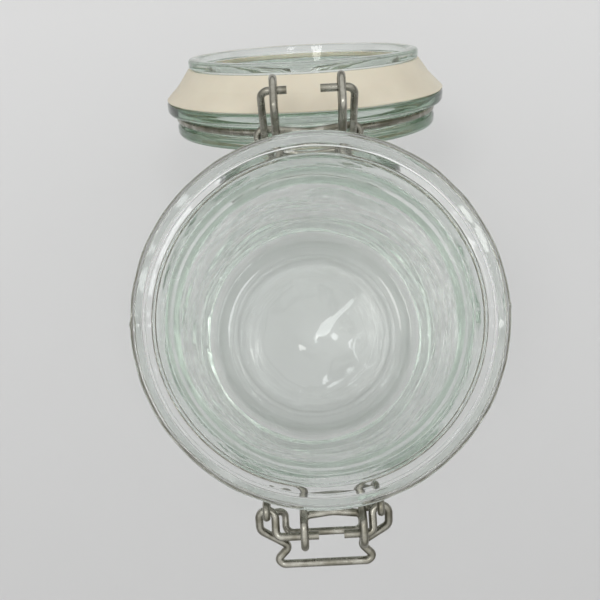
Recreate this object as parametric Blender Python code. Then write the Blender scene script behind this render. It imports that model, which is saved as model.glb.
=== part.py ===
"""A one-litre clip top jar, standing empty with its lid swung back and its front lever undone.

Lengths are in millimetres until a mesh is made. The base is on Z = 0, the hinge is at +Y and the closing
lever at -Y. Every piece is drawn about the jar's axis, and the lid's pieces as on the shut jar: a parent
empty on the hinge pins swings them open. The whole jar then stands at JAR_Y, so that the row's origin is
the middle of its bounding box.
"""

import math

import bmesh
import bpy
from mathutils import Vector

MM = 0.001
JAR_Y = -25.7

# Glass jar
JAR_HEIGHT = 160.0
RIM_RADIUS = 50.0
RIM_HEIGHT = 8.8
NECK_RADIUS = 46.6
BODY_RADIUS = 56.5
BODY_INSIDE_RADIUS = 52.8
MOUTH_RADIUS = 42.2
NECK_INSIDE_RADIUS = 41.7
SEAT_DEPTH = 7.2
SEAT_SLOPE = 0.853
SHOULDER_TOP = 143.0
SHOULDER_BOTTOM = 119.0
INSIDE_SHOULDER_TOP = 136.0
INSIDE_SHOULDER_BOTTOM = 116.0
FLOOR_THICKNESS = 6.2
FOOT_INNER_RADIUS = 41.0
FOOT_OUTER_RADIUS = 47.0
PUSH_UP = 4.5

# Glass lid, with heights above the jar's mouth when it is shut
FLANGE_RADIUS = 50.3
FLANGE_BOTTOM = 3.2
FLANGE_TOP = 7.2
PLUG_RADIUS = 41.2
PLUG_DEPTH = 10.7
PLUG_NECK_RADIUS = 39.9
GROOVE_RADIUS = 45.0
GROOVE_TOP = 11.2
CROWN_RADIUS = 47.5
LID_TOP = 15.0
LID_HOLLOW_RADIUS = 31.0
LID_HOLLOW_TOP = 8.0
LID_OPEN_DEG = 240.0

# Rubber gasket
GASKET_LIP_RADIUS = 41.6
GASKET_LIP_DEPTH = 7.2
GASKET_INNER_RADIUS = 40.2

# Wires
WIRE = 2.2
CLASP_WIRE = 2.0
LOOP_BEND = 2.4
NECK_RING_RADIUS = 48.1
NECK_RING_Z = JAR_HEIGHT - 11.6
BACK_ARCH_Z = JAR_HEIGHT - 14.2
BACK_LOOP_X = 9.5
BACK_LOOP_END = 66.8
HINGE_Y = 63.4
HINGE_Z = JAR_HEIGHT - 5.6
FRONT_ARCH_Z = JAR_HEIGHT - 13.2
FRONT_MIDDLE_X = 0.9
FRONT_LOOP_X = 7.9
FRONT_LOOP_END = -61.3
LEVER_Y = -58.5
LEVER_Z = JAR_HEIGHT - 10.6
LID_RING_RADIUS = 46.4
LID_RING_Z = JAR_HEIGHT + 9.3
ARM_X = 13.2
ARM_BEND_Y = 54.6
NOSE_Y = -55.5
BRIDGE_Y = 51.8
BRIDGE_CURL = 2.45

# Lever and clasp, measured from the middle of the lever's pins
LEVER_X = -1.6
LEVER_LEG = 13.1
EAR_IN = 7.1
EAR_WIDTH = 4.4
CLASP_LEG = 10.6
CLASP_BAR_Z = -5.1
CLASP_CURL = 2.35
CLASP_CURL_DEG = 225.0

SEGMENTS = 48
BEND_STEP_DEG = 22.5
RING_STEP_DEG = 7.5


def clear_scene():
    for obj in list(bpy.data.objects):
        bpy.data.objects.remove(obj, do_unlink=True)


def principled(name, colour, roughness, metallic=0.0, transmission=0.0):
    material = bpy.data.materials.new(name)
    material.use_nodes = True
    shader = material.node_tree.nodes["Principled BSDF"]
    shader.inputs["Base Color"].default_value = (*colour, 1.0)
    shader.inputs["Roughness"].default_value = roughness
    shader.inputs["Metallic"].default_value = metallic
    shader.inputs["Transmission Weight"].default_value = transmission
    return material


def add_object(name, data, material, place, parent):
    obj = bpy.data.objects.new(name, data)
    bpy.context.scene.collection.objects.link(obj)
    data.materials.append(material)
    obj.location = Vector(place) * MM
    obj.parent = parent
    return obj


def turned(name, profile, material, place, parent=None):
    """A solid turned about Z from its half section, run from axis to axis or as a closed outline."""
    mesh = bpy.data.meshes.new(name)
    bm = bmesh.new()
    verts = [bm.verts.new(Vector((r, 0.0, z)) * MM) for r, z in profile]
    pairs = list(zip(verts, verts[1:]))
    if profile[0][0] > 0.0:
        pairs.append((verts[-1], verts[0]))
    edges = [bm.edges.new(pair) for pair in pairs]
    bmesh.ops.spin(
        bm,
        geom=verts + edges,
        cent=(0.0, 0.0, 0.0),
        axis=(0.0, 0.0, 1.0),
        angle=math.tau,
        steps=SEGMENTS,
        use_merge=True,
    )
    bmesh.ops.remove_doubles(bm, verts=bm.verts, dist=0.01 * MM)
    bmesh.ops.recalc_face_normals(bm, faces=bm.faces)
    bm.to_mesh(mesh)
    bm.free()
    mesh.shade_smooth()
    mesh.set_sharp_from_angle(angle=math.radians(35.0))
    return add_object(name, mesh, material, place, parent)


def eased(start, end, steps):
    """Points of a smooth S from one radius and height to another, without the first one."""
    points = []
    for step in range(1, steps + 1):
        share = step / steps
        mix = (1.0 - math.cos(math.pi * share)) / 2.0
        points.append((start[0] + (end[0] - start[0]) * mix, start[1] + (end[1] - start[1]) * share))
    return points


def spun(vector, axis, angle):
    """The vector turned about an axis at a right angle to it."""
    return vector * math.cos(angle) + axis.cross(vector) * math.sin(angle)


def bent(corners):
    """The line of a wire from corners (x, y, z, bend radius). Radius 0 is a plain point."""
    places = [Vector(corner[:3]) for corner in corners]
    points = []
    for index, corner in enumerate(corners):
        here = places[index]
        if corner[3] == 0.0 or index in (0, len(corners) - 1):
            points.append(here)
            continue
        before = (places[index - 1] - here).normalized()
        after = (places[index + 1] - here).normalized()
        turn = math.pi - before.angle(after)
        middle = (before + after).normalized()
        centre = here + middle * (corner[3] / math.cos(turn / 2.0))
        first = here + before * (corner[3] * math.tan(turn / 2.0)) - centre
        axis = before.cross(after).normalized()
        steps = max(1, math.ceil(math.degrees(turn) / BEND_STEP_DEG))
        for step in range(steps + 1):
            points.append(centre + spun(first, axis, -turn * step / steps))
    return points


def mirrored(corners):
    """The same corners on the other side of X = 0, in the opposite order."""
    return [(-x, y, z, bend) for x, y, z, bend in reversed(corners)]


def ring_corners(radius, z, start_deg, end_deg):
    """Plain wire points along part of a level ring about the jar's axis."""
    steps = round(abs(end_deg - start_deg) / RING_STEP_DEG)
    corners = []
    for step in range(steps + 1):
        angle = math.radians(start_deg + (end_deg - start_deg) * step / steps)
        corners.append((radius * math.cos(angle), radius * math.sin(angle), z, 0.0))
    return corners


def wire(name, points, diameter, material, place, parent=None, closed=False):
    curve = bpy.data.curves.new(name, "CURVE")
    curve.dimensions = "3D"
    curve.bevel_depth = diameter / 2.0 * MM
    curve.bevel_resolution = 2
    curve.render_resolution_u = 0
    curve.use_fill_caps = True
    spline = curve.splines.new("POLY")
    spline.points.add(len(points) - 1)
    for target, point in zip(spline.points, points):
        target.co = (*(point * MM), 1.0)
    spline.use_cyclic_u = closed
    spline.use_smooth = True
    return add_object(name, curve, material, place, parent)


def make_jar(material):
    rim_bottom = JAR_HEIGHT - RIM_HEIGHT
    seat_top = MOUTH_RADIUS + SEAT_DEPTH * SEAT_SLOPE
    profile = [
        (0.0, PUSH_UP),
        (30.0, PUSH_UP - 0.5),
        (35.0, 3.0),
        (39.6, 0.6),
        (FOOT_INNER_RADIUS, 0.0),
        (FOOT_OUTER_RADIUS, 0.0),
        (51.6, 1.7),
        (55.1, 5.6),
        (BODY_RADIUS, 11.5),
        (BODY_RADIUS, SHOULDER_BOTTOM),
    ]
    profile += eased((BODY_RADIUS, SHOULDER_BOTTOM), (NECK_RADIUS, SHOULDER_TOP), 6)
    profile += [
        (NECK_RADIUS, rim_bottom - 1.2),
        (NECK_RADIUS + 1.0, rim_bottom),
        (RIM_RADIUS - 0.8, rim_bottom),
        (RIM_RADIUS, rim_bottom + 0.9),
        (RIM_RADIUS, JAR_HEIGHT - 1.4),
        (RIM_RADIUS - 0.5, JAR_HEIGHT - 0.4),
        (RIM_RADIUS - 1.2, JAR_HEIGHT),
        (seat_top, JAR_HEIGHT - 0.2),
        (MOUTH_RADIUS, JAR_HEIGHT - SEAT_DEPTH),
        (NECK_INSIDE_RADIUS, INSIDE_SHOULDER_TOP),
    ]
    profile += eased(
        (NECK_INSIDE_RADIUS, INSIDE_SHOULDER_TOP), (BODY_INSIDE_RADIUS, INSIDE_SHOULDER_BOTTOM), 6
    )
    profile += [
        (BODY_INSIDE_RADIUS, 16.0),
        (51.5, 10.6),
        (49.0, 7.5),
        (46.0, FLOOR_THICKNESS),
        (39.2, FLOOR_THICKNESS),
        (36.4, 7.7),
        (33.6, 9.9),
        (27.0, 11.0),
        (0.0, 11.9),
    ]
    return turned("jar", profile, material, (0.0, JAR_Y, 0.0))


def make_lid(material, hinge, place):
    profile = [
        (0.0, LID_HOLLOW_TOP),
        (LID_HOLLOW_RADIUS, LID_HOLLOW_TOP),
        (34.4, 5.2),
        (35.8, -3.0),
        (37.0, 1.2 - PLUG_DEPTH),
        (38.3, -PLUG_DEPTH),
        (PLUG_RADIUS - 1.0, -PLUG_DEPTH),
        (PLUG_RADIUS, 1.0 - PLUG_DEPTH),
        (PLUG_RADIUS, -8.3),
        (PLUG_RADIUS - 0.6, -7.5),
        (PLUG_NECK_RADIUS, -7.4),
        (PLUG_NECK_RADIUS, -5.5),
        (47.3, FLANGE_BOTTOM),
        (FLANGE_RADIUS - 0.8, FLANGE_BOTTOM),
        (FLANGE_RADIUS, FLANGE_BOTTOM + 0.9),
        (FLANGE_RADIUS, FLANGE_TOP - 1.0),
        (FLANGE_RADIUS - 1.0, FLANGE_TOP),
        (GROOVE_RADIUS + 1.0, FLANGE_TOP + 0.2),
        (GROOVE_RADIUS, FLANGE_TOP + 1.0),
        (GROOVE_RADIUS, GROOVE_TOP - 0.8),
        (GROOVE_RADIUS + 1.0, GROOVE_TOP),
        (CROWN_RADIUS, GROOVE_TOP + 0.8),
        (CROWN_RADIUS, LID_TOP - 1.3),
        (CROWN_RADIUS - 1.2, LID_TOP),
        (40.0, LID_TOP),
        (38.0, LID_TOP - 1.0),
        (0.0, LID_TOP - 1.0),
    ]
    return turned("lid", [(r, JAR_HEIGHT + z) for r, z in profile], material, place, hinge)


def make_gasket(material, hinge, place):
    profile = [
        (GASKET_INNER_RADIUS, -GASKET_LIP_DEPTH),
        (GASKET_LIP_RADIUS, -GASKET_LIP_DEPTH),
        (FLANGE_RADIUS - 0.1, FLANGE_BOTTOM - 0.7),
        (FLANGE_RADIUS - 0.3, FLANGE_BOTTOM - 0.3),
        (47.6, FLANGE_BOTTOM - 0.3),
        (GASKET_INNER_RADIUS, 1.4 - GASKET_LIP_DEPTH),
    ]
    return turned("gasket", [(r, JAR_HEIGHT + z) for r, z in profile], material, place, hinge)


def make_neck_wire(material):
    """One closed wire round the neck, bent out into two loops at the back and two at the front."""
    front = [
        (FRONT_LOOP_X, -47.4, NECK_RING_Z, 4.5),
        (FRONT_LOOP_X, -51.6, NECK_RING_Z + 0.1, 2.0),
        (FRONT_LOOP_X, -55.0, LEVER_Z + LOOP_BEND, 2.0),
        (FRONT_LOOP_X, FRONT_LOOP_END, LEVER_Z + LOOP_BEND, LOOP_BEND - 0.01),
        (FRONT_LOOP_X, FRONT_LOOP_END, LEVER_Z - LOOP_BEND, LOOP_BEND - 0.01),
        (FRONT_LOOP_X, -53.8, FRONT_ARCH_Z, 1.8),
    ]
    back = [
        (BACK_LOOP_X, 47.2, NECK_RING_Z, 4.5),
        (BACK_LOOP_X, 51.8, NECK_RING_Z + 0.1, 2.5),
        (BACK_LOOP_X, 57.6, HINGE_Z + LOOP_BEND, 3.0),
        (BACK_LOOP_X, BACK_LOOP_END, HINGE_Z + LOOP_BEND, LOOP_BEND - 0.01),
        (BACK_LOOP_X, BACK_LOOP_END, HINGE_Z - LOOP_BEND, LOOP_BEND - 0.01),
        (BACK_LOOP_X, 58.8, HINGE_Z - LOOP_BEND, 2.5),
        (BACK_LOOP_X, 53.6, BACK_ARCH_Z, 1.8),
    ]
    right = [(FRONT_MIDDLE_X + x, y, z, bend) for x, y, z, bend in front]
    left = [(FRONT_MIDDLE_X - x, y, z, bend) for x, y, z, bend in front]
    corners = list(reversed(right))
    corners += ring_corners(NECK_RING_RADIUS, NECK_RING_Z, -71.0, 68.0)
    corners += back
    corners += [(0.0, 51.6, BACK_ARCH_Z, 12.0)]
    corners += mirrored(back)
    corners += ring_corners(NECK_RING_RADIUS, NECK_RING_Z, 112.0, 251.0)
    corners += left
    corners += [(FRONT_MIDDLE_X, -52.9, FRONT_ARCH_Z, 12.0)]
    points = bent([corners[-1]] + corners + [corners[0]])[1:-1]
    return wire("neck_wire", points, WIRE, material, (0.0, JAR_Y, 0.0), closed=True)


def make_lid_wire(material, hinge, place):
    """The wire in the lid's groove: a nose at the front and, at the back, two arms ending in pins."""
    arm = [
        (ARM_X, HINGE_Y, HINGE_Z, 2.4),
        (ARM_X, ARM_BEND_Y, LID_RING_Z, 4.0),
        (ARM_X, 44.8, LID_RING_Z, 2.4),
    ]
    nose = [
        (7.0, -46.0, LID_RING_Z, 2.4),
        (5.0, NOSE_Y, LID_RING_Z, 2.2),
    ]
    corners = [(3.6, HINGE_Y, HINGE_Z, 0.0)]
    corners += arm
    corners += ring_corners(LID_RING_RADIUS, LID_RING_Z, 67.5, -75.0)
    corners += nose + mirrored(nose)
    corners += ring_corners(LID_RING_RADIUS, LID_RING_Z, -105.0, -247.5)
    corners += mirrored(arm)
    corners += [(-5.8, HINGE_Y, HINGE_Z, 0.0)]
    return wire("lid_wire", bent(corners), WIRE, material, place, hinge)


def make_bridge_wire(material, hinge, place):
    """The short wire that ties the two arms together, curled round each of them."""
    curl = []
    for step in range(12):
        angle = math.radians(150.0 - 240.0 * step / 11)
        x = ARM_X + BRIDGE_CURL * math.cos(angle)
        z = LID_RING_Z + BRIDGE_CURL * math.sin(angle)
        curl.append((x, BRIDGE_Y, z, 0.0))
    corners = curl + [(0.0, BRIDGE_Y, LID_RING_Z - 1.0, 20.0)] + mirrored(curl)
    return wire("bridge_wire", bent(corners), WIRE, material, place, hinge)


def make_lever(material):
    half = [
        (LEVER_LEG, 0.0, 0.0, 1.6),
        (LEVER_LEG, EAR_IN, 0.0, 2.19),
        (LEVER_LEG + EAR_WIDTH, EAR_IN, 0.0, 2.19),
        (LEVER_LEG + EAR_WIDTH, 1.6, -1.9, 2.6),
        (9.6, -3.7, -4.8, 1.4),
        (13.2, -7.3, -5.3, 1.0),
        (11.6, -8.7, -5.5, 1.8),
    ]
    corners = [(5.2, 0.0, 0.0, 0.0)] + half + mirrored(half) + [(-1.6, 0.0, 0.0, 0.0)]
    return wire("lever", bent(corners), WIRE, material, (LEVER_X, JAR_Y + LEVER_Y, LEVER_Z))


def make_clasp(material):
    """The loop hung on the lever's two U-bends. Its middle bar lies under the neck wire's front loops."""
    pivot_x = LEVER_LEG + EAR_WIDTH / 2.0
    leg = [
        (CLASP_LEG, -0.3 - EAR_IN, CLASP_BAR_Z, 2.2),
        (CLASP_LEG, 5.6 - EAR_IN, CLASP_BAR_Z - 0.1, 1.8),
        (pivot_x, 5.8 - EAR_IN, -2.6, 1.0),
    ]
    steps = 10
    for step in range(steps + 1):
        angle = math.radians(CLASP_CURL_DEG * step / steps)
        leg.append((pivot_x, CLASP_CURL * math.sin(angle), -CLASP_CURL * math.cos(angle), 0.0))
    points = bent(mirrored(leg) + leg)
    place = (LEVER_X, JAR_Y + LEVER_Y + EAR_IN, LEVER_Z)
    return wire("clasp", points, CLASP_WIRE, material, place)


def build():
    clear_scene()
    glass = principled("clear_glass", (0.86, 0.9, 0.87), 0.05, transmission=1.0)
    rubber = principled("cream_rubber", (0.78, 0.72, 0.6), 0.6)
    steel = principled("tinned_steel", (0.55, 0.54, 0.5), 0.35, metallic=1.0)

    hinge = bpy.data.objects.new("lid_hinge", None)
    bpy.context.scene.collection.objects.link(hinge)
    hinge.location = Vector((0.0, JAR_Y + HINGE_Y, HINGE_Z)) * MM
    hinge.rotation_euler = (math.radians(-LID_OPEN_DEG), 0.0, 0.0)
    on_hinge = (0.0, -HINGE_Y, -HINGE_Z)

    make_jar(glass)
    make_neck_wire(steel)
    make_lid(glass, hinge, on_hinge)
    make_gasket(rubber, hinge, on_hinge)
    make_lid_wire(steel, hinge, on_hinge)
    make_bridge_wire(steel, hinge, on_hinge)
    make_lever(steel)
    make_clasp(steel)


build()
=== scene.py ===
"""A clip top jar seen from above with its lid swung back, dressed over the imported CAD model.

Lengths of the pieces are in millimetres until a mesh is made. The looks, the lights and the floor are in
metres. The jar, its neck wire and the lid's pieces are drawn about the jar's axis, the lid's as on the shut
jar, and the lever and the clasp about their own pivots. Each piece is then moved to where its CAD node
stands. The camera was fitted to the photograph.
"""

import math

import bpy
from mathutils import Matrix, Vector, noise


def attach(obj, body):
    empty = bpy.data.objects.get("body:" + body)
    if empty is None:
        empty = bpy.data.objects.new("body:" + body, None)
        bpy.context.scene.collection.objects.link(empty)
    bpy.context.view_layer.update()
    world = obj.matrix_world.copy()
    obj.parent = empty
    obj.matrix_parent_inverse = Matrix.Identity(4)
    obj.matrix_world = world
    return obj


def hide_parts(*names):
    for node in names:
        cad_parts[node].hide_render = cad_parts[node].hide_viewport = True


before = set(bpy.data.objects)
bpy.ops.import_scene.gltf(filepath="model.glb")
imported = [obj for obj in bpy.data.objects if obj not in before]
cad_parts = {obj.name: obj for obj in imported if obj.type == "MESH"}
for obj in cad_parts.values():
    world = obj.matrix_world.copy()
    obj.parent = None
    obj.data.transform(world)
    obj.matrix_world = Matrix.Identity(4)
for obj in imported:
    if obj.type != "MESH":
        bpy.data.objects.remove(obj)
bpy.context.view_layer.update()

MM = 0.001
JAR_Y = -25.7

# Glass jar
JAR_HEIGHT = 160.0
RIM_RADIUS = 50.0
RIM_HEIGHT = 8.8
NECK_RADIUS = 46.6
BODY_RADIUS = 56.5
BODY_INSIDE_RADIUS = 52.8
MOUTH_RADIUS = 42.2
NECK_INSIDE_RADIUS = 41.7
SEAT_DEPTH = 7.2
SEAT_SLOPE = 0.853
SEAT_TOP_RADIUS = MOUTH_RADIUS + SEAT_DEPTH * SEAT_SLOPE
SEAT_LINES = (2.2, 4.7)
SEAT_LINE_HEIGHT = 0.16
SEAT_LINE_HALF = 0.5
SHOULDER_TOP = 143.0
SHOULDER_BOTTOM = 119.0
INSIDE_SHOULDER_TOP = 136.0
INSIDE_SHOULDER_BOTTOM = 116.0
FLOOR_THICKNESS = 6.2
PUSH_UP = 4.5
INSIDE_PUSH_UP = 11.9

# Glass lid, with heights above the jar's mouth when it is shut
FLANGE_RADIUS = 50.3
FLANGE_BOTTOM = 3.2
FLANGE_TOP = 7.2
PLUG_RADIUS = 41.2
PLUG_DEPTH = 10.7
PLUG_NECK_RADIUS = 39.9
GROOVE_RADIUS = 45.0
GROOVE_TOP = 11.2
CROWN_RADIUS = 47.5
LID_TOP = 15.0
LID_HOLLOW_TOP = 8.0
LID_OPEN_DEG = 240.0

# Rubber gasket
GASKET_LIP_RADIUS = 41.6
GASKET_LIP_DEPTH = 7.2
GASKET_INNER_RADIUS = 40.2
GASKET_LINE_Z = JAR_HEIGHT - 2.4
GASKET_LINE_DEPTH = 0.05
GASKET_LINE_HALF = 0.3

# Wires
WIRE = 2.2
CLASP_WIRE = 2.0
LOOP_BEND = 2.4
NECK_RING_RADIUS = 48.1
NECK_RING_Z = JAR_HEIGHT - 11.6
BACK_ARCH_Z = JAR_HEIGHT - 14.2
BACK_LOOP_X = 9.5
BACK_LOOP_END = 66.8
HINGE_Y = 63.4
HINGE_Z = JAR_HEIGHT - 5.6
FRONT_ARCH_Z = JAR_HEIGHT - 13.2
FRONT_MIDDLE_X = 0.9
FRONT_LOOP_X = 7.9
FRONT_LOOP_END = -61.3
LEVER_Y = -58.5
LEVER_Z = JAR_HEIGHT - 10.6
LID_RING_RADIUS = 46.4
LID_RING_Z = JAR_HEIGHT + 9.3
ARM_X = 13.2
ARM_BEND_Y = 54.6
NOSE_Y = -55.5
BRIDGE_Y = 51.8
BRIDGE_CURL = 2.45
BRIDGE_CURL_START_DEG = 150.0
BRIDGE_CURL_DEG = 240.0
BRIDGE_SAG = 1.0
FRONT_GAP_DEG = 19.0
BACK_GAP_DEG = 22.0
ARM_GAP_DEG = 22.5
NOSE_GAP_DEG = 15.0
HINGE_PIN_ENDS = (3.6, -5.8)

# Lever and clasp, measured from the middle of the lever's pins
LEVER_X = -1.6
LEVER_PIN_ENDS = (5.2, -1.6)
LEVER_LEG = 13.1
EAR_IN = 7.1
EAR_WIDTH = 4.4
CLASP_LEG = 10.6
CLASP_BAR_Z = -5.1
CLASP_CURL = 2.35
CLASP_CURL_DEG = 225.0

# Fineness of the meshes
BEND_STEP_DEG = 9.0
RING_STEP_DEG = 3.0
CURL_STEPS = 24
SHOULDER_STEPS = 24
INSIDE_SHOULDER_STEPS = 20
WIRE_SIDES_LEVEL = 6
TURN_STEPS = 240
LINE_STEP = 1.6
GASKET_LINE_STEP = 0.8
ON_AXIS = 0.001

# Waves in the surfaces: height, size along the surface, seed, and how much finer they are up and down
NOISE_GAIN = 1.6
COLLAR_WAVE = (0.14, 7.0, 3.0, 0.4)
OUTSIDE_WAVE = (0.05, 24.0, 3.0, 1.0)
WALL_WAVE = (0.75, 26.0, 11.0, 1.7)
WALL_RIPPLE = (0.15, 11.0, 23.0, 1.6)
WALL_CREASE = (0.55, 22.0, 83.0, 1.9)
INSIDE_EDGE_WAVE = (0.14, 12.0, 31.0, 1.0)
FLOOR_WAVE = (0.1, 20.0, 41.0, 1.0)
LID_WAVE = (0.05, 14.0, 61.0, 1.0)
GASKET_WAVE = (0.06, 12.0, 71.0, 1.0)

# Patches in which the creases fade, and how thin the creases are
PATCH_SIZE = 1.5
PATCH_SEED = 7.0
PATCH_EDGES = (-0.2, 0.5)
CREASE_THINNESS = 2.2

# Where the waves and the mould seams lie
WALL_WAVES_FROM = 14.0
WALL_WAVES_TO = INSIDE_SHOULDER_TOP - 6.0
WALL_WAVES_FADE = 8.0
INSIDE_EDGE_HALF = 3.0
FLOOR_WAVES_FULL = 12.0
FLOOR_WAVES_END = 24.0
FLOOR_ZONE = 20.0
PLAIN_FOOT = 3.0
COLLAR_FROM = JAR_HEIGHT - RIM_HEIGHT - 1.0
COLLAR_INNER_RADIUS = SEAT_TOP_RADIUS - 0.3
SEAM_HALF = 0.5
COLLAR_SEAM = 0.3
OUTSIDE_SEAM = 0.14
OUTSIDE_SEAM_RADIUS = NECK_RADIUS - 2.0
LID_SEAM = 0.12
LID_SEAM_RADIUS = GROOVE_RADIUS + 1.5

# Glass looks
GLASS_COLOUR = (0.938, 0.95, 0.941, 1.0)
GLASS_TINT = (0.42, 0.6, 0.46, 1.0)
GLASS_IOR = 1.52
JAR_GLASS_DENSITY = 3.6
LID_GLASS_DENSITY = 18.0
HAZE_SCALE = 60.0
HAZE_ROUGHNESS = 0.06
PEEL_SCALE = 90.0
PEEL_STRENGTH = 0.1
PEEL_DEPTH = 0.0008

# Steel looks
STEEL_DARK = (0.20, 0.19, 0.15, 1.0)
STEEL_LIGHT = (0.44, 0.43, 0.38, 1.0)
STEEL_ROUGH = 0.34
STEEL_SMOOTH = 0.2
STEEL_CLOUD_SCALE = 260.0
PIT_SCALE = 1500.0
PIT_STRENGTH = 0.25
PIT_DEPTH = 0.00012

# Rubber looks
RUBBER_DARK = (0.66, 0.60, 0.475, 1.0)
RUBBER_LIGHT = (0.78, 0.725, 0.585, 1.0)
RUBBER_ROUGHNESS = 0.55
RUBBER_GLOW = 0.12
RUBBER_GLOW_DEPTH = 0.002
RUBBER_GLOW_COLOURS = (1.0, 0.6, 0.35)
RUBBER_CLOUD_SCALE = 45.0
GRAIN_SCALE = 2200.0
GRAIN_STRENGTH = 0.2
GRAIN_DEPTH = 0.0001

# Floor, lights and backdrop
FLOOR_HALF = 12.0
FLOOR_DROP = 0.0002
# Painted light falloff: the floor's grey is painted darker at the front and lighter at the back, not the
# paper's own colour.
FLOOR_FALLOFF_FRONT_Y = -0.2
FLOOR_FALLOFF_BACK_Y = 0.15
FLOOR_FRONT_PAINTED_SHADE_GREY = 0.55
FLOOR_BACK_PAINTED_LIGHT_GREY = 0.7
FLOOR_ROUGHNESS = 0.9
FLOOR_SPECULAR = 0.1
LIGHT_AIM = (0.0, 0.0, 0.1)
KEY_PLACE = (-0.5, -0.14, 1.7)
KEY_SIZE = 0.42
KEY_POWER = 2.6
KEY_COLOUR = (1.0, 0.99, 0.97)
FILL_PLACE = (0.34, -0.1, 1.7)
FILL_SIZE = 0.34
FILL_POWER = 1.6
FILL_COLOUR = (0.97, 0.98, 1.0)
SKY_LOW = (0.17, 0.17, 0.16, 1.0)
SKY_HIGH = (1.0, 1.0, 1.0, 1.0)
SKY_LOW_UNTIL = 0.12
SKY_HIGH_FROM = 0.6
SKY_STRENGTH = 1.02
CLEAR_BOUNCES = 40
DIFFUSE_BOUNCES = 4

# Camera, in the jar's own millimetres above its mouth, with its turns in radians
CAMERA_PLACE = (-3.58, -10.77, 169.45)
CAMERA_PITCH = 0.0882
CAMERA_YAW = 0.0082
CAMERA_ROLL = -0.0517
CAMERA_LENS = 39.1
CAMERA_SENSOR = 36.0
CAMERA_NEAR = 0.01

AT_JAR = Matrix.Translation((0.0, JAR_Y, 0.0))
HINGE = Vector((0.0, HINGE_Y, HINGE_Z))
AT_LID = (
    AT_JAR
    @ Matrix.Translation(HINGE)
    @ Matrix.Rotation(math.radians(-LID_OPEN_DEG), 4, "X")
    @ Matrix.Translation(-HINGE)
)
AT_LEVER = Matrix.Translation((LEVER_X, JAR_Y + LEVER_Y, LEVER_Z))
AT_CLASP = Matrix.Translation((LEVER_X, JAR_Y + LEVER_Y + EAR_IN, LEVER_Z))


# Shapes


def add_object(name, data, material):
    obj = bpy.data.objects.new(name, data)
    bpy.context.scene.collection.objects.link(obj)
    data.materials.append(material)
    return obj


def smoothstep(low, high, value):
    share = min(1.0, max(0.0, (value - low) / (high - low)))
    return share * share * (3.0 - 2.0 * share)


def band(value, low, high, fade):
    """1 between low and high, and 0 beyond them, with soft ends."""
    return smoothstep(low - fade, low, value) * (1.0 - smoothstep(high, high + fade, value))


def bead(value, middle, half_width):
    """A small rounded hump, 1 at its middle."""
    return math.exp(-(((value - middle) / half_width) ** 2))


def spun(vector, axis, angle):
    """The vector turned about an axis at a right angle to it."""
    return vector * math.cos(angle) + axis.cross(vector) * math.sin(angle)


def bent(corners):
    """The line of a wire from corners (x, y, z, bend radius). Radius 0 is a plain point."""
    places = [Vector(corner[:3]) for corner in corners]
    points = []
    for index, corner in enumerate(corners):
        here = places[index]
        if corner[3] == 0.0 or index in (0, len(corners) - 1):
            points.append(here)
            continue
        before = (places[index - 1] - here).normalized()
        after = (places[index + 1] - here).normalized()
        turn = math.pi - before.angle(after)
        middle = (before + after).normalized()
        centre = here + middle * (corner[3] / math.cos(turn / 2.0))
        first = here + before * (corner[3] * math.tan(turn / 2.0)) - centre
        axis = before.cross(after).normalized()
        steps = max(1, math.ceil(math.degrees(turn) / BEND_STEP_DEG))
        for step in range(steps + 1):
            points.append(centre + spun(first, axis, -turn * step / steps))
    return points


def mirrored(corners):
    """The same corners on the other side of X = 0, in the opposite order."""
    return [(-x, y, z, bend) for x, y, z, bend in reversed(corners)]


def ring_corners(radius, z, start_deg, end_deg):
    """Plain wire points along part of a level ring about the jar's axis."""
    steps = round(abs(end_deg - start_deg) / RING_STEP_DEG)
    corners = []
    for step in range(steps + 1):
        angle = math.radians(start_deg + (end_deg - start_deg) * step / steps)
        corners.append((radius * math.cos(angle), radius * math.sin(angle), z, 0.0))
    return corners


def eased(start, end, steps):
    """Points of a smooth S from one radius and height to another, without the first one."""
    points = []
    for step in range(1, steps + 1):
        share = step / steps
        mix = (1.0 - math.cos(math.pi * share)) / 2.0
        points.append((start[0] + (end[0] - start[0]) * mix, start[1] + (end[1] - start[1]) * share, 0.0))
    return points


def section(corners, longest):
    """The points (radius, height) of a half section with rounded corners and no long stretches."""
    line = bent([(r, 0.0, z, bend) for r, z, bend in corners])
    points = [(line[0].x, line[0].z)]
    for start, end in zip(line, line[1:]):
        steps = max(1, math.ceil((end - start).length / longest))
        for step in range(1, steps + 1):
            place = start.lerp(end, step / steps)
            points.append((place.x, place.z))
    return points


def turned(name, points, relief, place, material, closed=False):
    """A solid turned about Z, its surface moved out by relief(radius, height, angle, facing)."""
    count = len(points)
    facings = []
    for index in range(count):
        if closed:
            before = points[index - 1]
            after = points[(index + 1) % count]
        else:
            before = points[max(0, index - 1)]
            after = points[min(count - 1, index + 1)]
        run = Vector((after[0] - before[0], after[1] - before[1])).normalized()
        facings.append(Vector((run.y, -run.x)))
    verts = []
    rows = []
    for (radius, height), facing in zip(points, facings):
        if radius < ON_AXIS:
            rows.append([len(verts)] * TURN_STEPS)
            verts.append(place @ Vector((0.0, 0.0, height)) * MM)
            continue
        row = []
        for step in range(TURN_STEPS):
            angle = math.tau * step / TURN_STEPS
            out = relief(radius, height, angle, facing)
            r = radius + out * facing.x
            z = height + out * facing.y
            row.append(len(verts))
            verts.append(place @ Vector((r * math.cos(angle), r * math.sin(angle), z)) * MM)
        rows.append(row)
    if closed:
        rows.append(rows[0])
    faces = []
    for low, high in zip(rows, rows[1:]):
        for step in range(TURN_STEPS):
            after = (step + 1) % TURN_STEPS
            corners = [low[step], low[after], high[after], high[step]]
            faces.append(list(dict.fromkeys(corners)))
    mesh = bpy.data.meshes.new(name)
    mesh.from_pydata(verts, [], faces)
    mesh.validate()
    mesh.shade_smooth()
    return add_object(name, mesh, material)


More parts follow.
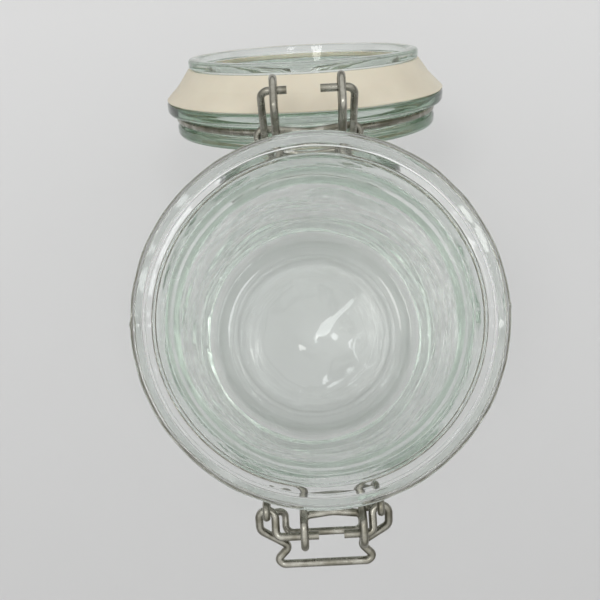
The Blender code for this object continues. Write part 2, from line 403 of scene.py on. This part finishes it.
def wire(name, points, diameter, place, material, closed=False):
    curve = bpy.data.curves.new(name, "CURVE")
    curve.dimensions = "3D"
    curve.bevel_depth = diameter / 2.0 * MM
    curve.bevel_resolution = WIRE_SIDES_LEVEL
    curve.render_resolution_u = 0
    curve.use_fill_caps = True
    spline = curve.splines.new("POLY")
    spline.points.add(len(points) - 1)
    for target, point in zip(spline.points, points):
        target.co = (*(place @ point * MM), 1.0)
    spline.use_cyclic_u = closed
    spline.use_smooth = True
    return add_object(name, curve, material)


# Glass surfaces


def ripple(radius, height, angle, size, seed, squeeze):
    """Smooth noise on a turned surface, from about -1 to 1. A squeeze over 1 makes it finer up and down."""
    place = Vector((radius * math.cos(angle), radius * math.sin(angle), height * squeeze)) / size
    return noise.noise(place + Vector((seed, 0.0, 0.0))) * NOISE_GAIN


def wave(kind, radius, height, angle):
    """One kind of wave there, with its own height."""
    reach, size, seed, squeeze = kind
    return reach * ripple(radius, height, angle, size, seed, squeeze)


def crease(kind, radius, height, angle):
    """Thin smooth ridges that run mostly round the wall and fade in patches, with their own height."""
    reach, size, seed, squeeze = kind
    line = abs(ripple(radius, height, angle, size, seed, squeeze))
    cloud = ripple(radius, height, angle, size * PATCH_SIZE, seed + PATCH_SEED, 1.0)
    patch = smoothstep(PATCH_EDGES[0], PATCH_EDGES[1], cloud)
    return reach * patch * (1.0 - min(1.0, line * CREASE_THINNESS)) ** 2


def seam(radius, angle):
    """The two mould seams, which run up the outside at +X and -X."""
    return bead(radius * math.sin(angle), 0.0, SEAM_HALF)


def jar_relief(radius, height, angle, facing):
    """Blown glass: nearly even on the outside, apart from its seams, and wavy on the inside."""
    if height > COLLAR_FROM and radius > COLLAR_INNER_RADIUS:
        return wave(COLLAR_WAVE, radius, height, angle) + COLLAR_SEAM * seam(radius, angle)
    inside = facing.x < 0.0 or (facing.y > 0.0 and height < FLOOR_ZONE)
    if not inside:
        if height < PLAIN_FOOT:
            return 0.0
        out = wave(OUTSIDE_WAVE, radius, height, angle)
        if radius > OUTSIDE_SEAM_RADIUS:
            out += OUTSIDE_SEAM * seam(radius, angle)
        return out
    wall = band(height, WALL_WAVES_FROM, WALL_WAVES_TO, WALL_WAVES_FADE)
    out = wall * wave(WALL_WAVE, radius, height, angle)
    out += wall * wave(WALL_RIPPLE, radius, height, angle)
    out += wall * crease(WALL_CREASE, radius, height, angle)
    edge = bead(height, INSIDE_SHOULDER_TOP, INSIDE_EDGE_HALF)
    out += edge * wave(INSIDE_EDGE_WAVE, radius, 0.0, angle)
    floor = 1.0 - smoothstep(FLOOR_WAVES_FULL, FLOOR_WAVES_END, height)
    out += floor * wave(FLOOR_WAVE, radius, height, angle)
    return out


def lid_relief(radius, height, angle, facing):
    """The lid is pressed glass, with a slight wave, and its seams cross the flange and the crown."""
    out = wave(LID_WAVE, radius, height, angle)
    if radius > LID_SEAM_RADIUS:
        out += LID_SEAM * seam(radius, angle)
    return out


def gasket_relief(radius, height, angle, facing):
    """Slightly uneven rubber, with a faint line moulded into it."""
    out = wave(GASKET_WAVE, radius, height, angle)
    return out - GASKET_LINE_DEPTH * bead(height, GASKET_LINE_Z, GASKET_LINE_HALF)


# Pieces


def seat_corner(depth, lift, bend):
    """A corner on the mouth's sloping seat, so far below the mouth and lifted off the slope."""
    run = math.hypot(1.0, SEAT_SLOPE)
    radius = MOUTH_RADIUS + (SEAT_DEPTH - depth) * SEAT_SLOPE
    return (radius - lift / run, JAR_HEIGHT - depth + lift * SEAT_SLOPE / run, bend)


def make_jar(material):
    rim_bottom = JAR_HEIGHT - RIM_HEIGHT
    corners = [
        (0.0, PUSH_UP, 0.0),
        (32.0, 4.0, 20.0),
        (36.5, 2.6, 4.0),
        (40.4, 0.0, 4.0),
        (BODY_RADIUS, 0.0, 9.6),
        (BODY_RADIUS, SHOULDER_BOTTOM, 0.0),
    ]
    corners += eased((BODY_RADIUS, SHOULDER_BOTTOM), (NECK_RADIUS, SHOULDER_TOP), SHOULDER_STEPS)
    corners += [
        (NECK_RADIUS, rim_bottom, 0.9),
        (RIM_RADIUS, rim_bottom, 0.9),
        (RIM_RADIUS, JAR_HEIGHT, 1.3),
        (SEAT_TOP_RADIUS, JAR_HEIGHT, 0.5),
    ]
    for depth in SEAT_LINES:
        corners.append(seat_corner(depth - SEAT_LINE_HALF, 0.0, 0.15))
        corners.append(seat_corner(depth, SEAT_LINE_HEIGHT, 0.25))
        corners.append(seat_corner(depth + SEAT_LINE_HALF, 0.0, 0.15))
    corners += [
        (MOUTH_RADIUS, JAR_HEIGHT - SEAT_DEPTH, 0.4),
        (MOUTH_RADIUS, JAR_HEIGHT - SEAT_DEPTH - 1.2, 0.5),
        (MOUTH_RADIUS + 0.6, JAR_HEIGHT - SEAT_DEPTH - 2.6, 0.8),
        (NECK_INSIDE_RADIUS, INSIDE_SHOULDER_TOP, 0.0),
    ]
    corners += eased(
        (NECK_INSIDE_RADIUS, INSIDE_SHOULDER_TOP),
        (BODY_INSIDE_RADIUS, INSIDE_SHOULDER_BOTTOM),
        INSIDE_SHOULDER_STEPS,
    )
    corners += [
        (BODY_INSIDE_RADIUS, 24.0, 20.0),
        (49.6, 11.5, 10.0),
        (44.6, FLOOR_THICKNESS + 0.5, 8.0),
        (38.6, FLOOR_THICKNESS, 4.0),
        (33.4, 10.1, 4.0),
        (26.0, 11.1, 20.0),
        (0.0, INSIDE_PUSH_UP, 0.0),
    ]
    points = section(corners, LINE_STEP)
    obj = turned("jar_glass", points, jar_relief, AT_JAR, material)
    finish_piece(obj, "jar", "jar")


def make_lid(material):
    corners = [
        (0.0, LID_HOLLOW_TOP, 0.0),
        (33.6, LID_HOLLOW_TOP, 3.4),
        (36.9, -PLUG_DEPTH + 0.4, 0.6),
        (38.4, -PLUG_DEPTH, 0.8),
        (PLUG_RADIUS, -PLUG_DEPTH, 1.0),
        (PLUG_RADIUS, -7.6, 0.5),
        (PLUG_NECK_RADIUS, -7.4, 0.3),
        (PLUG_NECK_RADIUS, -5.5, 0.8),
        (47.3, FLANGE_BOTTOM, 0.6),
        (FLANGE_RADIUS, FLANGE_BOTTOM, 0.9),
        (FLANGE_RADIUS, FLANGE_TOP, 1.3),
        (GROOVE_RADIUS, FLANGE_TOP + 0.1, 0.9),
        (GROOVE_RADIUS, GROOVE_TOP, 0.9),
        (CROWN_RADIUS, GROOVE_TOP + 0.1, 1.0),
        (CROWN_RADIUS, LID_TOP, 1.5),
        (39.6, LID_TOP, 1.0),
        (37.8, LID_TOP - 1.0, 2.0),
        (0.0, LID_TOP - 1.0, 0.0),
    ]
    points = section([(r, JAR_HEIGHT + z, bend) for r, z, bend in corners], LINE_STEP)
    obj = turned("lid_glass", points, lid_relief, AT_LID, material)
    finish_piece(obj, "lid", "lid")


def make_gasket(material):
    corners = [
        (GASKET_INNER_RADIUS + 0.7, -GASKET_LIP_DEPTH, 0.0),
        (GASKET_LIP_RADIUS, -GASKET_LIP_DEPTH, 0.4),
        (45.5, -2.0, 14.0),
        (FLANGE_RADIUS - 0.1, FLANGE_BOTTOM - 0.7, 0.3),
        (FLANGE_RADIUS - 0.3, FLANGE_BOTTOM - 0.3, 0.15),
        (47.6, FLANGE_BOTTOM - 0.3, 0.3),
        (GASKET_INNER_RADIUS, 1.4 - GASKET_LIP_DEPTH, 0.3),
        (GASKET_INNER_RADIUS, -GASKET_LIP_DEPTH, 0.3),
        (GASKET_INNER_RADIUS + 0.7, -GASKET_LIP_DEPTH, 0.0),
    ]
    points = section([(r, JAR_HEIGHT + z, bend) for r, z, bend in corners], GASKET_LINE_STEP)[:-1]
    obj = turned("gasket_rubber", points, gasket_relief, AT_LID, material, closed=True)
    finish_piece(obj, "lid", "gasket")


def make_neck_wire(material):
    front = [
        (FRONT_LOOP_X, -47.4, NECK_RING_Z, 4.5),
        (FRONT_LOOP_X, -51.6, NECK_RING_Z + 0.1, 2.0),
        (FRONT_LOOP_X, -55.0, LEVER_Z + LOOP_BEND, 2.0),
        (FRONT_LOOP_X, FRONT_LOOP_END, LEVER_Z + LOOP_BEND, LOOP_BEND - 0.01),
        (FRONT_LOOP_X, FRONT_LOOP_END, LEVER_Z - LOOP_BEND, LOOP_BEND - 0.01),
        (FRONT_LOOP_X, -53.8, FRONT_ARCH_Z, 1.8),
    ]
    back = [
        (BACK_LOOP_X, 47.2, NECK_RING_Z, 4.5),
        (BACK_LOOP_X, 51.8, NECK_RING_Z + 0.1, 2.5),
        (BACK_LOOP_X, 57.6, HINGE_Z + LOOP_BEND, 3.0),
        (BACK_LOOP_X, BACK_LOOP_END, HINGE_Z + LOOP_BEND, LOOP_BEND - 0.01),
        (BACK_LOOP_X, BACK_LOOP_END, HINGE_Z - LOOP_BEND, LOOP_BEND - 0.01),
        (BACK_LOOP_X, 58.8, HINGE_Z - LOOP_BEND, 2.5),
        (BACK_LOOP_X, 53.6, BACK_ARCH_Z, 1.8),
    ]
    right = [(FRONT_MIDDLE_X + x, y, z, bend) for x, y, z, bend in front]
    left = [(FRONT_MIDDLE_X - x, y, z, bend) for x, y, z, bend in front]
    corners = list(reversed(right))
    corners += ring_corners(NECK_RING_RADIUS, NECK_RING_Z, FRONT_GAP_DEG - 90.0, 90.0 - BACK_GAP_DEG)
    corners += back
    corners += [(0.0, 51.6, BACK_ARCH_Z, 12.0)]
    corners += mirrored(back)
    corners += ring_corners(NECK_RING_RADIUS, NECK_RING_Z, 90.0 + BACK_GAP_DEG, 270.0 - FRONT_GAP_DEG)
    corners += left
    corners += [(FRONT_MIDDLE_X, -52.9, FRONT_ARCH_Z, 12.0)]
    points = bent([corners[-1]] + corners + [corners[0]])[1:-1]
    obj = wire("neck_wire_round", points, WIRE, AT_JAR, material, closed=True)
    finish_piece(obj, "jar", "neck_wire")


def make_lid_wire(material):
    arm = [
        (ARM_X, HINGE_Y, HINGE_Z, 2.4),
        (ARM_X, ARM_BEND_Y, LID_RING_Z, 4.0),
        (ARM_X, 44.8, LID_RING_Z, 2.4),
    ]
    nose = [
        (7.0, -46.0, LID_RING_Z, 2.4),
        (5.0, NOSE_Y, LID_RING_Z, 2.2),
    ]
    corners = [(HINGE_PIN_ENDS[0], HINGE_Y, HINGE_Z, 0.0)]
    corners += arm
    corners += ring_corners(LID_RING_RADIUS, LID_RING_Z, 90.0 - ARM_GAP_DEG, NOSE_GAP_DEG - 90.0)
    corners += nose + mirrored(nose)
    corners += ring_corners(LID_RING_RADIUS, LID_RING_Z, -90.0 - NOSE_GAP_DEG, ARM_GAP_DEG - 270.0)
    corners += mirrored(arm)
    corners += [(HINGE_PIN_ENDS[1], HINGE_Y, HINGE_Z, 0.0)]
    obj = wire("lid_wire_round", bent(corners), WIRE, AT_LID, material)
    finish_piece(obj, "lid", "lid_wire")


def make_bridge_wire(material):
    curl = []
    for step in range(CURL_STEPS + 1):
        angle = math.radians(BRIDGE_CURL_START_DEG - BRIDGE_CURL_DEG * step / CURL_STEPS)
        x = ARM_X + BRIDGE_CURL * math.cos(angle)
        z = LID_RING_Z + BRIDGE_CURL * math.sin(angle)
        curl.append((x, BRIDGE_Y, z, 0.0))
    corners = curl + [(0.0, BRIDGE_Y, LID_RING_Z - BRIDGE_SAG, 20.0)] + mirrored(curl)
    obj = wire("bridge_wire_round", bent(corners), WIRE, AT_LID, material)
    finish_piece(obj, "lid", "bridge_wire")


def make_lever(material):
    half = [
        (LEVER_LEG, 0.0, 0.0, 1.6),
        (LEVER_LEG, EAR_IN, 0.0, 2.19),
        (LEVER_LEG + EAR_WIDTH, EAR_IN, 0.0, 2.19),
        (LEVER_LEG + EAR_WIDTH, 1.6, -1.9, 2.6),
        (9.6, -3.7, -4.8, 1.4),
        (13.2, -7.3, -5.3, 1.0),
        (11.6, -8.7, -5.5, 1.8),
    ]
    corners = [(LEVER_PIN_ENDS[0], 0.0, 0.0, 0.0)]
    corners += half + mirrored(half)
    corners += [(LEVER_PIN_ENDS[1], 0.0, 0.0, 0.0)]
    obj = wire("lever_round", bent(corners), WIRE, AT_LEVER, material)
    finish_piece(obj, "lever", "lever")


def make_clasp(material):
    pivot_x = LEVER_LEG + EAR_WIDTH / 2.0
    leg = [
        (CLASP_LEG, -0.3 - EAR_IN, CLASP_BAR_Z, 2.2),
        (CLASP_LEG, 5.6 - EAR_IN, CLASP_BAR_Z - 0.1, 1.8),
        (pivot_x, 5.8 - EAR_IN, -2.6, 1.0),
    ]
    for step in range(CURL_STEPS + 1):
        angle = math.radians(CLASP_CURL_DEG * step / CURL_STEPS)
        leg.append((pivot_x, CLASP_CURL * math.sin(angle), -CLASP_CURL * math.cos(angle), 0.0))
    obj = wire("clasp_round", bent(mirrored(leg) + leg), CLASP_WIRE, AT_CLASP, material)
    finish_piece(obj, "clasp", "clasp")


def finish_piece(obj, body, node):
    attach(obj, body)
    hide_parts(node)


# Materials


def new_material(name):
    material = bpy.data.materials.new(name)
    material.use_nodes = True
    nodes = material.node_tree.nodes
    return material, nodes, material.node_tree.links, nodes["Principled BSDF"]


def noise_node(nodes, links, scale, detail):
    """Noise in the object's own metres, with scale in waves per metre."""
    coords = nodes.new("ShaderNodeTexCoord")
    texture = nodes.new("ShaderNodeTexNoise")
    texture.inputs["Scale"].default_value = scale
    texture.inputs["Detail"].default_value = detail
    links.new(coords.outputs["Object"], texture.inputs["Vector"])
    return texture


def ramp_node(nodes, links, source, low, high, first, last):
    """A colour or value ramp from one place of the source to another."""
    ramp = nodes.new("ShaderNodeValToRGB")
    ramp.color_ramp.elements[0].position = low
    ramp.color_ramp.elements[0].color = first
    ramp.color_ramp.elements[1].position = high
    ramp.color_ramp.elements[1].color = last
    links.new(source, ramp.inputs["Fac"])
    return ramp


def grey(value):
    return (value, value, value, 1.0)


def bump_node(nodes, links, source, strength, distance):
    bump = nodes.new("ShaderNodeBump")
    bump.inputs["Strength"].default_value = strength
    bump.inputs["Distance"].default_value = distance
    links.new(source, bump.inputs["Height"])
    return bump


def glass_material(name, density):
    """Clear glass with a faint haze, a slightly uneven skin and a green tint that grows with thickness."""
    material, nodes, links, shader = new_material(name)
    shader.inputs["Base Color"].default_value = GLASS_COLOUR
    shader.inputs["Transmission Weight"].default_value = 1.0
    shader.inputs["IOR"].default_value = GLASS_IOR
    haze = noise_node(nodes, links, HAZE_SCALE, 4.0)
    rough = ramp_node(nodes, links, haze.outputs["Fac"], 0.45, 0.8, grey(0.0), grey(HAZE_ROUGHNESS))
    links.new(rough.outputs["Color"], shader.inputs["Roughness"])
    peel = noise_node(nodes, links, PEEL_SCALE, 2.0)
    bump = bump_node(nodes, links, peel.outputs["Fac"], PEEL_STRENGTH, PEEL_DEPTH)
    links.new(bump.outputs["Normal"], shader.inputs["Normal"])
    tint = nodes.new("ShaderNodeVolumeAbsorption")
    tint.inputs["Color"].default_value = GLASS_TINT
    tint.inputs["Density"].default_value = density
    links.new(tint.outputs["Volume"], nodes["Material Output"].inputs["Volume"])
    return material


def steel_material():
    """Dull tinned wire, cloudy and finely pitted."""
    material, nodes, links, shader = new_material("tinned_steel_wire")
    shader.inputs["Metallic"].default_value = 1.0
    cloud = noise_node(nodes, links, STEEL_CLOUD_SCALE, 5.0)
    colour = ramp_node(nodes, links, cloud.outputs["Fac"], 0.35, 0.7, STEEL_DARK, STEEL_LIGHT)
    links.new(colour.outputs["Color"], shader.inputs["Base Color"])
    rough = ramp_node(nodes, links, cloud.outputs["Fac"], 0.3, 0.75, grey(STEEL_ROUGH), grey(STEEL_SMOOTH))
    links.new(rough.outputs["Color"], shader.inputs["Roughness"])
    pits = noise_node(nodes, links, PIT_SCALE, 3.0)
    bump = bump_node(nodes, links, pits.outputs["Fac"], PIT_STRENGTH, PIT_DEPTH)
    links.new(bump.outputs["Normal"], shader.inputs["Normal"])
    return material


def rubber_material():
    """Matte cream rubber that lets a little light in."""
    material, nodes, links, shader = new_material("cream_rubber_seal")
    cloud = noise_node(nodes, links, RUBBER_CLOUD_SCALE, 5.0)
    colour = ramp_node(nodes, links, cloud.outputs["Fac"], 0.3, 0.75, RUBBER_DARK, RUBBER_LIGHT)
    links.new(colour.outputs["Color"], shader.inputs["Base Color"])
    shader.inputs["Roughness"].default_value = RUBBER_ROUGHNESS
    shader.inputs["Subsurface Weight"].default_value = RUBBER_GLOW
    shader.inputs["Subsurface Scale"].default_value = RUBBER_GLOW_DEPTH
    shader.inputs["Subsurface Radius"].default_value = RUBBER_GLOW_COLOURS
    grain = noise_node(nodes, links, GRAIN_SCALE, 2.0)
    bump = bump_node(nodes, links, grain.outputs["Fac"], GRAIN_STRENGTH, GRAIN_DEPTH)
    links.new(bump.outputs["Normal"], shader.inputs["Normal"])
    return material


def painted_falloff_floor_material():
    """Plain pale paper with a painted light falloff: its colour is painted darker at the front and lighter
    towards the back.
    """
    material, nodes, links, shader = new_material("pale_floor_painted_falloff")
    coords = nodes.new("ShaderNodeTexCoord")
    split = nodes.new("ShaderNodeSeparateXYZ")
    links.new(coords.outputs["Object"], split.inputs["Vector"])
    spread = nodes.new("ShaderNodeMapRange")
    spread.inputs["From Min"].default_value = FLOOR_FALLOFF_FRONT_Y
    spread.inputs["From Max"].default_value = FLOOR_FALLOFF_BACK_Y
    links.new(split.outputs["Y"], spread.inputs["Value"])
    front = grey(FLOOR_FRONT_PAINTED_SHADE_GREY)
    back = grey(FLOOR_BACK_PAINTED_LIGHT_GREY)
    # Painted light falloff: a ramp from painted shade at the front to painted light at the back.
    colour = ramp_node(nodes, links, spread.outputs["Result"], 0.0, 1.0, front, back)
    links.new(colour.outputs["Color"], shader.inputs["Base Color"])
    shader.inputs["Roughness"].default_value = FLOOR_ROUGHNESS
    shader.inputs["Specular IOR Level"].default_value = FLOOR_SPECULAR
    return material


# Stage


def make_floor():
    mesh = bpy.data.meshes.new("floor")
    signs = [(-1, -1), (1, -1), (1, 1), (-1, 1)]
    corners = [(FLOOR_HALF * x, FLOOR_HALF * y, 0.0) for x, y in signs]
    mesh.from_pydata(corners, [], [(0, 1, 2, 3)])
    floor = add_object("floor", mesh, painted_falloff_floor_material())
    floor.location.z = -FLOOR_DROP


def area_light(name, place, size, power, colour):
    data = bpy.data.lights.new(name, "AREA")
    data.shape = "DISK"
    data.size = size
    data.energy = power
    data.color = colour
    light = bpy.data.objects.new(name, data)
    bpy.context.scene.collection.objects.link(light)
    light.location = place
    light.rotation_euler = (Vector(LIGHT_AIM) - Vector(place)).to_track_quat("-Z", "Y").to_euler()


def make_lights():
    area_light("key", KEY_PLACE, KEY_SIZE, KEY_POWER, KEY_COLOUR)
    area_light("fill", FILL_PLACE, FILL_SIZE, FILL_POWER, FILL_COLOUR)


def make_world():
    """A white sky that darkens towards the horizon."""
    world = bpy.data.worlds.new("studio")
    bpy.context.scene.world = world
    world.use_nodes = True
    nodes = world.node_tree.nodes
    links = world.node_tree.links
    coords = nodes.new("ShaderNodeTexCoord")
    split = nodes.new("ShaderNodeSeparateXYZ")
    links.new(coords.outputs["Generated"], split.inputs["Vector"])
    ramp = ramp_node(nodes, links, split.outputs["Z"], SKY_LOW_UNTIL, SKY_HIGH_FROM, SKY_LOW, SKY_HIGH)
    links.new(ramp.outputs["Color"], nodes["Background"].inputs["Color"])
    nodes["Background"].inputs["Strength"].default_value = SKY_STRENGTH


def make_camera():
    data = bpy.data.cameras.new("camera")
    data.lens = CAMERA_LENS
    data.sensor_width = CAMERA_SENSOR
    data.clip_start = CAMERA_NEAR
    camera = bpy.data.objects.new("camera", data)
    bpy.context.scene.collection.objects.link(camera)
    place = Vector(CAMERA_PLACE) + Vector((0.0, JAR_Y, JAR_HEIGHT))
    turn = (
        Matrix.Rotation(CAMERA_PITCH, 4, "X")
        @ Matrix.Rotation(CAMERA_YAW, 4, "Y")
        @ Matrix.Rotation(CAMERA_ROLL, 4, "Z")
    )
    camera.matrix_world = Matrix.Translation(place * MM) @ turn
    bpy.context.scene.camera = camera


def set_render():
    scene = bpy.context.scene
    scene.view_settings.view_transform = "Standard"
    scene.cycles.max_bounces = CLEAR_BOUNCES
    scene.cycles.transmission_bounces = CLEAR_BOUNCES
    scene.cycles.glossy_bounces = CLEAR_BOUNCES
    scene.cycles.diffuse_bounces = DIFFUSE_BOUNCES
    scene.cycles.blur_glossy = 0.0
    scene.cycles.caustics_refractive = True
    scene.cycles.caustics_reflective = True
    scene.cycles.use_denoising = True


def build():
    jar_glass = glass_material("clear_green_glass", JAR_GLASS_DENSITY)
    lid_glass = glass_material("thick_green_glass", LID_GLASS_DENSITY)
    steel = steel_material()
    rubber = rubber_material()
    make_camera()
    make_floor()
    make_lights()
    make_world()
    set_render()
    make_jar(jar_glass)
    make_lid(lid_glass)
    make_gasket(rubber)
    make_neck_wire(steel)
    make_lid_wire(steel)
    make_bridge_wire(steel)
    make_lever(steel)
    make_clasp(steel)


build()
